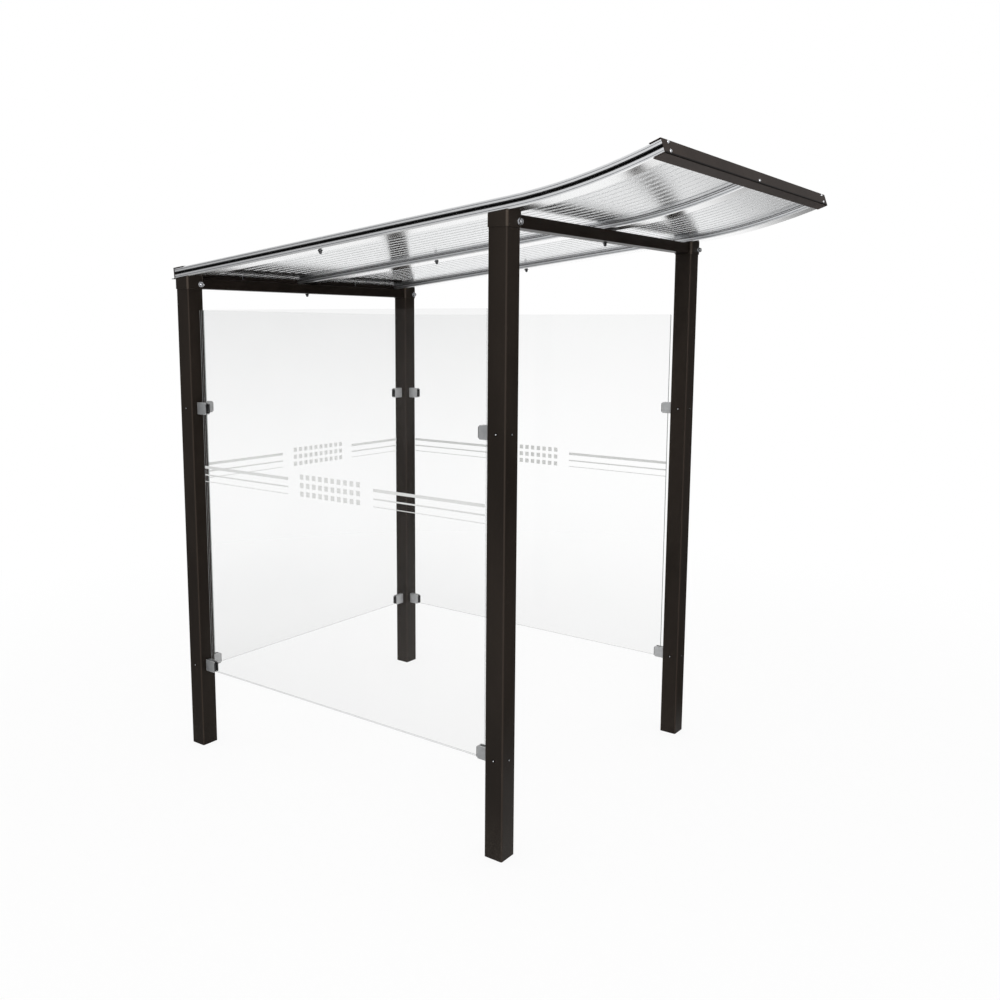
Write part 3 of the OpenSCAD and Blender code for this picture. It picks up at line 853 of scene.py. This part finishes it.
@dataclass(frozen=True)
class Flags:
    """Two dark cloths beside the set and a dark far floor, seen only in mirror images.

    A way holds the X and Y that a cloth lies toward. Every other pair holds the values at which
    something starts and is full.
    """

    front_way: Span = (0.81, -0.58)
    front_spread: Span = (0.2, 0.8)
    front_depth: float = 0.94
    side_way: Span = (-0.50, 0.86)
    side_spread: Span = (0.72, 0.98)
    side_depth: float = 0.60
    top: Span = (0.05, 0.45)
    lying: Span = (0.05, 0.45)
    lying_start: Span = (0.5, 1.5)
    far_start: Span = (3.2, 8.5)
    far_x: Span = (0.2, 0.8)
    far_y: Span = (0.24, 0.04)
    far_depth: float = 0.85

    @staticmethod
    def _toward(recipe: Recipe, way: Signal, aim: Span) -> Signal:
        """Gives how much a direction agrees with a level one."""
        return recipe.axis(way, "X") * aim[0] + recipe.axis(way, "Y") * aim[1]

    def _front(self, recipe: Recipe, way: Signal) -> Signal:
        """Gives how dark the front cloth is along a direction."""
        return self._toward(recipe, way, self.front_way).step(*self.front_spread) * self.front_depth

    def _side(self, recipe: Recipe, way: Signal) -> Signal:
        """Gives how dark the side cloth is along a direction."""
        return self._toward(recipe, way, self.side_way).step(*self.side_spread) * self.side_depth

    def in_surround(self, recipe: Recipe, way: Signal) -> Signal:
        """Gives how dark the surround's mirror image is.

        Args:
            recipe: The recipe that needs it.
            way: The direction, of length 1.

        Returns:
            The darkness, which fades upward.
        """
        rise = recipe.axis(way, "Z").step(*self.top)
        return (self._front(recipe, way) + self._side(recipe, way)) * (1.0 - rise)

    def on_floor(self, recipe: Recipe, point: Signal, out: Signal) -> Signal:
        """Gives how dark the floor's mirror image is.

        Args:
            recipe: The recipe that needs it.
            point: The point on the floor.
            out: Its distance from the origin.

        Returns:
            The darkness, from 0 to 1.
        """
        way = recipe.node("ShaderNodeVectorMath", {"operation": "NORMALIZE"}, {0: point})
        lying = (0.0 - recipe.axis(way, "Y")).step(*self.lying)
        cloths = self._front(recipe, way) * lying + self._side(recipe, way)
        aside = recipe.axis(way, "Y").step(*self.far_y) * recipe.axis(way, "X").step(*self.far_x)
        far = aside * out.step(*self.far_start) * self.far_depth
        return (cloths * out.step(*self.lying_start)).most(far)


FLAGS = Flags()


@dataclass(frozen=True)
class StudioFloor(Finish):
    """Pale floor that shows white, with the object's soft shadow kept."""

    colour: Colour = (0.98, 0.98, 0.98)
    dull_gain: float = 0.97
    roughness: float = 0.95
    cloud: Texture = Texture(1.5)
    glow: float = 0.89
    glow_fade: Span = (1.8, 5.0)

    def draw(self, recipe: Recipe) -> Signal:
        """Gives the floor's shader."""
        point = recipe.place()
        out = recipe.node("ShaderNodeVectorMath", {"operation": "LENGTH"}, {0: point}, "Value")
        glow = out.step(*self.glow_fade) * (1.0 - self.glow) + self.glow
        tone = recipe.mix(recipe.noise(point, self.cloud), self.colour,
                          shaded(self.colour, self.dull_gain))
        matt = recipe.principled(Base_Color=tone, Roughness=self.roughness,
                                 Specular_IOR_Level=0.0)
        mirrored = recipe.rays("Glossy")
        flagged = mirrored * FLAGS.on_floor(recipe, point, out)
        white, black = (recipe.node("ShaderNodeEmission", inputs={"Strength": strength})
                        for strength in (1.0, 0.0))
        return recipe.blend((recipe.seen() * glow).most(mirrored), matt,
                            recipe.blend(flagged, white, black))


# Pieces ------------------------------------------------------------------------------------


def dress(finish: Finish, names: Iterable[str]) -> None:
    """Gives CAD nodes a finish.

    Args:
        finish: The finish.
        names: The nodes' names.
    """
    for name in names:
        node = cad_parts[name]
        node.data.materials.clear()
        node.data.materials.append(finish.material())
        log.info("%s: %s", name, finish.name)


def piece(name: str, mesh: bmesh.types.BMesh, finish: Finish,
          smooth: bool = False) -> bpy.types.Object:
    """Makes a new piece of the shelter from a built mesh.

    Args:
        name: The piece's name.
        mesh: The built mesh, which is freed.
        finish: What it is made of.
        smooth: Whether its faces are shaded smooth between sharp edges.

    Returns:
        The piece.
    """
    bmesh.ops.recalc_face_normals(mesh, faces=mesh.faces)
    data = bpy.data.meshes.new(name)
    mesh.to_mesh(data)
    mesh.free()
    made = bpy.data.objects.new(name, data)
    bpy.context.scene.collection.objects.link(made)
    data.materials.append(finish.material())
    if smooth:
        data.shade_smooth()
        data.set_sharp_from_angle(angle=SHARP_ANGLE)
    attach(made, "root")
    log.info("%s: %d faces, %s", name, len(data.polygons), finish.name)
    return made


def block(mesh: bmesh.types.BMesh, low: Vector, high: Vector) -> None:
    """Adds a closed box between two corners.

    Args:
        mesh: The mesh that gets it.
        low: The lowest corner.
        high: The highest corner.
    """
    size = high - low
    matrix = Matrix.Translation((low + high) / 2) @ Matrix.Diagonal((*size, 1.0))
    bmesh.ops.create_cube(mesh, size=1.0, matrix=matrix)


def islands(name: str) -> List[List[Vector]]:
    """Gives the corner points of each loose solid of a CAD node.

    Args:
        name: The node's name.

    Returns:
        One list of points for each solid, from low X and Y to high.
    """
    mesh = bmesh.new()
    mesh.from_mesh(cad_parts[name].data)
    bmesh.ops.remove_doubles(mesh, verts=mesh.verts, dist=SAME_POINT)
    left, found = set(mesh.verts), []
    while left:
        group, edge = set(), [left.pop()]
        while edge:
            point = edge.pop()
            group.add(point)
            near = {link.other_vert(point) for link in point.link_edges} & left
            left -= near
            edge.extend(near)
        found.append([point.co.copy() for point in group])
    mesh.free()
    return sorted(found, key=lambda points: tuple(round(middle(points)[i], 3) for i in range(3)))


def middle(points: Sequence[Vector]) -> Vector:
    """Gives the middle of the box around points."""
    return Vector([(min(p[i] for p in points) + max(p[i] for p in points)) / 2
                   for i in range(3)])


class Turned:
    """A part built from rings about an axis, round or hexagonal, as a lathe and a mill leave it."""

    segments = 48

    def __init__(self, mesh: bmesh.types.BMesh, base: Vector, axis: Vector,
                 side: Vector) -> None:
        """Starts a part.

        Args:
            mesh: The mesh that gets it.
            base: The point that heights are measured from.
            axis: The way that heights grow.
            side: The way that a hexagon's flat looks.
        """
        self.mesh, self.base, self.axis = mesh, base, axis.normalized()
        self.side = (side - side.dot(self.axis) * self.axis).normalized()
        self.across = self.axis.cross(self.side)
        self.rings: List[List[bmesh.types.BMVert]] = []

    def ring(self, height: Callable[[float], float], radius: Callable[[float], float]) -> None:
        """Adds a ring.

        Args:
            height: The height at each angle.
            radius: The radius at each angle.
        """
        points = []
        for i in range(self.segments):
            angle = 2 * math.pi * i / self.segments
            out = math.cos(angle) * self.side + math.sin(angle) * self.across
            points.append(self.mesh.verts.new(self.base + height(angle) * self.axis
                                              + radius(angle) * out))
        self.rings.append(points)

    def round(self, *stops: Tuple[float, float]) -> "Turned":
        """Adds round rings.

        Args:
            stops: Each ring's radius and height.

        Returns:
            The part itself.
        """
        for reach, level in stops:
            self.ring(lambda _, level=level: level, lambda _, reach=reach: reach)
        return self

    def hexagon(self, width: float, level: float, fall: float = 0.0) -> "Turned":
        """Adds a hexagonal ring.

        Args:
            width: The width across its flats.
            level: Its height at the flats.
            fall: How far its corners lie below that.

        Returns:
            The part itself.
        """
        def reach(angle: float) -> float:
            """Gives the hexagon's radius at an angle."""
            turn = (angle + math.pi / 6) % (math.pi / 3) - math.pi / 6
            return width / 2 / math.cos(turn)
        corner = width / math.sqrt(3) - width / 2
        self.ring(lambda angle: level - fall * (reach(angle) - width / 2) / corner, reach)
        return self

    def close(self) -> None:
        """Joins the rings and caps both ends."""
        for low, high in zip(self.rings, self.rings[1:]):
            for i in range(self.segments):
                j = (i + 1) % self.segments
                self.mesh.faces.new((low[i], low[j], high[j], high[i]))
        self.mesh.faces.new(list(reversed(self.rings[0])))
        self.mesh.faces.new(self.rings[-1])


# Sub-assemblies ----------------------------------------------------------------------------


@dataclass
class Posts:
    """The four square posts and the dark plugs in their unused holes."""

    paint: PowderCoat = PowderCoat("post_powder_coat")
    plug: Rubber = Rubber("plug_rubber", (0.0015, 0.0015, 0.0016), (0.006, 0.006, 0.006), 0.03)

    def dress(self) -> None:
        """Gives the posts and plugs their finishes."""
        dress(self.paint, [f"post_{corner}" for corner in CORNERS])
        dress(self.plug, ["post_plugs"])


@dataclass
class Glazing:
    """The three panes with their clamps, rubber and frosted bands."""

    bands: Profile = ((1.3115, 0.0125), (1.2772, 0.0062), (1.2468, 0.0032))
    band_thick: float = 0.0001
    edge_gap: float = 0.002
    side_gap: float = 0.240
    back_gap: Tuple[float, float] = (-0.197, 0.288)
    tile: float = 0.021
    tile_pitch: float = 0.0355
    tile_rows: int = 3
    tile_columns: int = 10
    tile_z: float = 1.290
    # Each side's clamps get a lighter or darker grey by how that side is lit: painted light and
    # shade
    clamp_shades: Tuple[Tuple[str, float], ...] = (("left", 0.30), ("back", 0.54), ("right", 0.46))
    # The left pane's ground edges are painted lighter and more see-through, as painted light, and
    # its painted edge lines are stronger
    left_glass: ClearGlass = ClearGlass("left_glass", foot_h=0.0032, foot_line=0.85, rear_line=0.6,
                                        edge=(0.55, 0.59, 0.58), edge_alpha=0.3)
    right_glass: ClearGlass = ClearGlass("right_glass")
    back_glass: ClearGlass = ClearGlass("back_glass", "glass_back", Face.BACK)
    rubber: Rubber = Rubber("black_rubber")
    film: FrostedFilm = FrostedFilm("frosted_film")
    # The back pane's film is a lighter copy of the same film, as painted light
    lit_back_film: FrostedFilm = FrostedFilm("back_lit_frosted_film", colour=(0.85, 0.855, 0.845))

    def dress(self) -> None:
        """Gives the panes, clamps and rubber their finishes."""
        dress(self.left_glass, ["glass_left"])
        dress(self.right_glass, ["glass_right"])
        dress(self.back_glass, ["glass_back"])
        for side, tone in self.clamp_shades:
            # One casting in lit and shaded copies, as painted light and shade
            dress(Casting(f"{side}_shaded_clamp_casting", (tone, tone + 0.005, tone + 0.01)),
                  [f"clamps_{side}"])
            dress(self.rubber, [f"pads_{side}"])

    def build(self) -> None:
        """Makes the frosted bands and tiles on each pane's outer face."""
        low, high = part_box("glass_left")
        centre = (low.y + high.y) / 2
        gap = (centre - self.side_gap, centre + self.side_gap)
        self._film("film_left", self.film, 1, 0, low.x, -1.0, (low.y, high.y), gap)
        low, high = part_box("glass_right")
        self._film("film_right", self.film, 1, 0, high.x, 1.0, (low.y, high.y), gap)
        low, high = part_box("glass_back")
        self._film("film_back", self.lit_back_film, 0, 1, high.y, 1.0, (low.x, high.x),
                   self.back_gap)

    def _film(self, name: str, finish: FrostedFilm, along: int, across: int, face: float,
              out: float, ends: Tuple[float, float], gap: Tuple[float, float]) -> None:
        """Makes one pane's film.

        Args:
            name: The piece's name.
            finish: What it is made of.
            along: The axis that the bands run along.
            across: The axis square to the pane.
            face: Where the pane's face is on that axis.
            out: Which way that face looks, 1 or -1.
            ends: The pane's two ends.
            gap: The two ends of the space between the bands.
        """
        mesh = bmesh.new()
        skin = sorted((face, face + out * self.band_thick))

        def patch(start: float, end: float, low_z: float, high_z: float) -> None:
            """Adds one flat patch of film between two ends and two heights."""
            corners = [Vector((0.0, 0.0, low_z)), Vector((0.0, 0.0, high_z))]
            for corner, run, depth in zip(corners, (start, end), skin):
                corner[along], corner[across] = run, depth
            block(mesh, *corners)

        for z, tall in self.bands:
            patch(ends[0] + self.edge_gap, gap[0], z - tall / 2, z + tall / 2)
            patch(gap[1], ends[1] - self.edge_gap, z - tall / 2, z + tall / 2)
        centre = sum(gap) / 2
        for column in range(self.tile_columns):
            run = centre + (column - (self.tile_columns - 1) / 2) * self.tile_pitch
            for row in range(self.tile_rows):
                z = self.tile_z + (row - (self.tile_rows - 1) / 2) * self.tile_pitch
                patch(run - self.tile / 2, run + self.tile / 2, z - self.tile / 2,
                      z + self.tile / 2)
        piece(name, mesh, finish)


@dataclass
class HeadFrame:
    """The two beams and the four sleeves over the posts."""

    # The beams' paint is a darker copy of the post paint, as painted shade under the roof
    paint: PowderCoat = PowderCoat("beam_shaded_powder_coat", colour=(0.0118, 0.0090, 0.0072),
                                   gloss=0.03)
    # The sleeves' paint is a slightly lighter copy of the post paint with a stronger painted corner
    # highlight, as painted light
    sleeve_paint: PowderCoat = PowderCoat("sleeve_lit_powder_coat", colour=(0.0178, 0.0140, 0.0112),
                                          corner_highlight_gain=3.4)

    def dress(self) -> None:
        """Gives the beams and sleeves their finishes."""
        dress(self.paint, ["front_beam", "rear_beam"])
        dress(self.sleeve_paint, [f"sleeve_{corner}" for corner in CORNERS])


@dataclass
class Roof:
    """The rails, gaskets, sheets, trims and clips above the head frame."""

    metal: Extrusion = Extrusion("extruded_aluminium")
    rubber: Rubber = Rubber("black_rubber")
    paint: TrimCoat = TrimCoat("trim_powder_coat")

    def dress(self) -> None:
        """Gives the roof's solids their finishes."""
        for column in COLUMNS:
            dress(self.metal, [f"base_rail_{column}", f"cap_rail_{column}"])
            dress(self.rubber, [f"gaskets_{column}"])
        dress(self.metal, ["sheet_clips"])
        for node in ("roof_sheet_left", "roof_sheet_right"):
            dress(MultiwallSheet(f"multiwall_{node}", node), [node])
        dress(self.paint, ["front_trim", "rear_trim"])


@dataclass
class Fasteners:
    """The bolts, nuts, screws and plug pins, remade with chamfers, domes and sockets.

    The rings of trim_head hold a radius and a height as shares of the screw's width and of its
    head's height. Those of pin_head hold a share of the pin's radius and a height in metres.
    """

    plate: ZincPlate = ZincPlate("zinc_plate")
    # Zinc plate given a dark colour, for the rail bolts
    dark_plate: ZincPlate = ZincPlate("dark_zinc_plate", colour=(0.10, 0.10, 0.105))
    rail_bolt: float = 0.008
    sleeve_bolt: float = 0.012
    sleeve_washer: float = 0.0025
    sleeve_head_h: float = 0.006
    stud_proud: float = 0.0012
    stud_chamfer: float = 0.0008
    nut_round: float = 0.0010
    nut_chamfer: float = 0.0007
    head_chamfer: float = 0.0004
    broken_edge: float = 0.0003
    corner_fall: float = 0.0006
    dome_angles: Tuple[float, ...] = (4, 18, 34, 50, 66, 80)
    trim_screw: float = 0.005
    trim_head_h: float = 0.004
    trim_head: Profile = (
        (1.25, 0.0), (1.24, 0.15), (1.15, 0.45), (0.96, 0.75), (0.72, 0.95), (0.55, 1.0))
    pin_radius: float = 0.0026
    pin_sunk: float = 0.0006
    pin_head: Profile = (
        (1.0, 0.0), (1.0, 0.0007), (0.86, 0.0011), (0.5, 0.0014), (0.1, 0.0015))

    def build(self) -> None:
        """Makes every set of fasteners."""
        for column in COLUMNS:
            self._rail_bolts(column)
        self._sleeve_bolts()
        self._trim_screws()
        self._plug_pins()

    def _rail_bolts(self, column: str) -> None:
        """Remakes one rail's hexagon bolts with washers and domed nuts."""
        mesh = bmesh.new()
        size, up, edge = self.rail_bolt, ROOF.up(), self.broken_edge
        width, washer, thick = 1.625 * size, 2.5 * size, 0.25 * size
        head, nut, dome = 0.66 * size, 0.8 * size, 0.75 * size
        for points in islands(f"rail_bolts_{column}"):
            levels = [point.dot(up) for point in points]
            low, high = min(levels), max(levels)
            spot = middle(points)
            base = spot + (low - spot.dot(up)) * up
            top = high - low
            seat = dome + nut + thick
            bolt = Turned(mesh, base, up, Vector((1.0, 0.0, 0.0)))
            bolt.round(*((dome * math.sin(a), dome * (1 - math.cos(a)))
                         for a in (math.radians(angle) for angle in self.dome_angles)))
            bolt.round((dome, dome))
            bolt.hexagon(width, dome + self.nut_chamfer, -self.corner_fall)
            bolt.hexagon(width, dome + nut).round((washer / 2 - edge, dome + nut))
            bolt.round((washer / 2, dome + nut + edge), (washer / 2, seat), (size / 2, seat))
            under = top - head - thick
            bolt.round((size / 2, under), (washer / 2, under))
            bolt.round((washer / 2, under + thick - edge), (washer / 2 - edge, top - head))
            bolt.hexagon(width, top - head)
            bolt.hexagon(width, top - self.head_chamfer, self.corner_fall)
            bolt.round((0.46 * width, top), (0.34 * width, top), (0.30 * width, top - edge))
            bolt.close()
        made = piece(f"hex_bolts_{column}", mesh, self.dark_plate, smooth=True)
        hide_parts(f"rail_bolts_{column}")

    def _sleeve_bolts(self) -> None:
        """Remakes the bolts through the sleeves, with their washers, nuts and chamfered ends."""
        mesh = bmesh.new()
        size, thick, chamfer = self.sleeve_bolt, self.sleeve_washer, self.stud_chamfer
        width, washer, nut, head = 1.58 * size, 2 * size, 0.9 * size, 0.75 * size
        end = thick + nut
        crown = end - self.stud_proud
        out = Vector((0.0, -1.0, 0.0))
        for points in islands("sleeve_bolts"):
            spot = middle(points)
            deep, front = max(p.y for p in points), min(p.y for p in points)
            face = front + nut + thick
            inside = face - deep
            under = inside + self.sleeve_head_h
            stud = Turned(mesh, Vector((spot.x, face, spot.z)), out, Vector((0.0, 0.0, 1.0)))
            stud.round((head, inside), (head, under))
            stud.round((size / 2, under), (size / 2, 0.0), (washer / 2, 0.0))
            stud.round((washer / 2, thick - self.head_chamfer),
                       (washer / 2 - self.head_chamfer, thick))
            stud.hexagon(0.94 * width, thick)
            stud.hexagon(width, thick + chamfer, -self.corner_fall)
            stud.hexagon(width, crown - self.nut_round, self.nut_round)
            stud.round((0.45 * width, crown), (0.56 * size, crown))
            stud.round((0.48 * size, crown - chamfer), (0.42 * size, crown - chamfer))
            stud.round((0.42 * size, end - chamfer), (0.36 * size, end))
            stud.close()
        made = piece("sleeve_nuts", mesh, self.plate, smooth=True)
        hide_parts("sleeve_bolts")

    def _trim_screws(self) -> None:
        """Remakes the front trim's screws with domed heads and hexagon sockets."""
        mesh = bmesh.new()
        size, tall = self.trim_screw, self.trim_head_h
        slope = self._front_slope()
        out = Vector((0.0, -math.cos(slope), math.sin(slope)))
        for points in islands("front_trim_screws"):
            levels = [point.dot(out) for point in points]
            spot = middle(points)
            seat = max(levels) - tall
            base = spot + (seat - spot.dot(out)) * out
            length = seat - min(levels)
            screw = Turned(mesh, base, out, Vector((1.0, 0.0, 0.0)))
            screw.round((0.3 * size, -length), (size / 2, 0.2 * size - length), (size / 2, 0.0))
            screw.round(*((reach * size, level * tall) for reach, level in self.trim_head))
            screw.hexagon(0.60 * size, 0.92 * tall).hexagon(0.58 * size, 0.40 * tall)
            screw.round((0.1 * size, 0.30 * tall))
            screw.close()
        made = piece("socket_screws", mesh, self.plate, smooth=True)
        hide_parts("front_trim_screws")

    @staticmethod
    def _front_slope() -> float:
        """Gives the roof's angle at its front end."""
        tip = min(v.co.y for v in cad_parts["base_rail_left"].data.vertices)
        reach = ROOF.centre().y - tip
        return math.asin(min(1.0, reach / ROOF.radius))

    def _plug_pins(self) -> None:
        """Makes the bright pin in the middle of each dark post plug."""
        mesh = bmesh.new()
        posts = [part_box(f"post_{corner}") for corner in CORNERS]
        for points in islands("post_plugs"):
            spot = middle(points)
            size = [max(p[i] for p in points) - min(p[i] for p in points) for i in range(3)]
            along = 0 if size[0] < size[1] else 1
            home = min(((low + high) / 2 for low, high in posts),
                       key=lambda centre: (centre.xy - spot.xy).length)
            out = Vector((0.0, 0.0, 0.0))
            out[along] = math.copysign(1.0, spot[along] - home[along])
            end = max(point.dot(out) for point in points)
            base = spot + (end - self.pin_sunk - spot.dot(out)) * out
            pin = Turned(mesh, base, out, Vector((0.0, 0.0, 1.0)))
            pin.round(*((reach * self.pin_radius, level) for reach, level in self.pin_head))
            pin.close()
        piece("plug_pins", mesh, self.plate, smooth=True)


@dataclass
class Studio:
    """The floor, the even light and the camera."""

    eye: Vector = field(default_factory=lambda: Vector((-3.51361, -2.57337, 1.94570)))
    heading: float = 54.2759
    tilt: float = -7.9397
    roll: float = 0.4471
    lens: float = 35.483
    shift: Tuple[float, float] = (0.0012, -0.0356)
    floor: StudioFloor = StudioFloor("studio_floor")
    floor_radius: float = 60.0
    floor_sides: int = 96
    ambient: float = 0.80
    key_power: float = 160.0
    key_size: Tuple[float, float] = (1.6, 2.4)
    key_place: Tuple[float, float, float] = (-6.2, -4.6, 3.4)
    key_aim: Tuple[float, float, float] = (0.0, 0.0, 1.2)

    def build(self) -> None:
        """Makes the floor, world, lamp and camera."""
        self._lay_floor()
        self._world()
        self._lamp()
        self._camera()

    def _lay_floor(self) -> None:
        """Makes the round floor."""
        mesh = bmesh.new()
        bmesh.ops.create_circle(mesh, cap_ends=True, segments=self.floor_sides,
                                radius=self.floor_radius)
        data = bpy.data.meshes.new("floor")
        mesh.to_mesh(data)
        mesh.free()
        floor = bpy.data.objects.new("floor", data)
        bpy.context.scene.collection.objects.link(floor)
        data.materials.append(self.floor.material())

    def _world(self) -> None:
        """Makes a white surround, whose mirror image has two dark cloths near the horizon."""
        world = bpy.data.worlds.new("studio")
        bpy.context.scene.world = world
        world.use_nodes = True
        recipe = Recipe(world.node_tree, "ShaderNodeOutputWorld")
        way = recipe.node("ShaderNodeTexCoord", output="Generated")
        mirrored = (1.0 - FLAGS.in_surround(recipe, way)).clamped()
        grey = 1.0 + recipe.rays("Glossy") * (mirrored - 1.0)
        strength = self.ambient + recipe.seen() * (grey - self.ambient)
        recipe.finish(recipe.node("ShaderNodeBackground", inputs={
            "Color": (1.0, 1.0, 1.0, 1.0), "Strength": strength}))

    def _lamp(self) -> None:
        """Makes one large soft lamp behind and above the camera."""
        light = bpy.data.lights.new("key", "AREA")
        light.shape = "RECTANGLE"
        light.size, light.size_y = self.key_size
        light.energy = self.key_power
        lamp = bpy.data.objects.new("key", light)
        bpy.context.scene.collection.objects.link(lamp)
        lamp.location = self.key_place
        aim = Vector(self.key_aim) - lamp.location
        lamp.rotation_euler = aim.to_track_quat("-Z", "Y").to_euler()

    def _camera(self) -> None:
        """Makes the camera from its heading, tilt and roll."""
        heading, tilt, roll = (math.radians(a) for a in (self.heading, self.tilt, self.roll))
        ahead = Vector((math.sin(heading) * math.cos(tilt), math.cos(heading) * math.cos(tilt),
                        math.sin(tilt)))
        level = ahead.cross(Vector((0.0, 0.0, 1.0))).normalized()
        above = level.cross(ahead)
        right = math.cos(roll) * level + math.sin(roll) * above
        up = math.cos(roll) * above - math.sin(roll) * level
        data = bpy.data.cameras.new("camera")
        data.lens, data.sensor_width = self.lens, 36.0
        data.shift_x, data.shift_y = self.shift
        camera = bpy.data.objects.new("camera", data)
        bpy.context.scene.collection.objects.link(camera)
        turn = Matrix((right, up, -ahead)).transposed().to_4x4()
        camera.matrix_world = Matrix.Translation(self.eye) @ turn
        bpy.context.scene.camera = camera


def main() -> None:
    """Builds and dresses each sub-assembly, then the studio."""
    logging.basicConfig(level=logging.INFO, format="%(message)s")
    Posts().dress()
    glazing = Glazing()
    glazing.dress()
    glazing.build()
    HeadFrame().dress()
    Roof().dress()
    Fasteners().build()
    Studio().build()
    scene = bpy.context.scene
    scene.view_settings.view_transform = "Standard"
    scene.cycles.transparent_max_bounces = CLEAR_FACES_IN_A_ROW


if __name__ == "__main__":
    main()
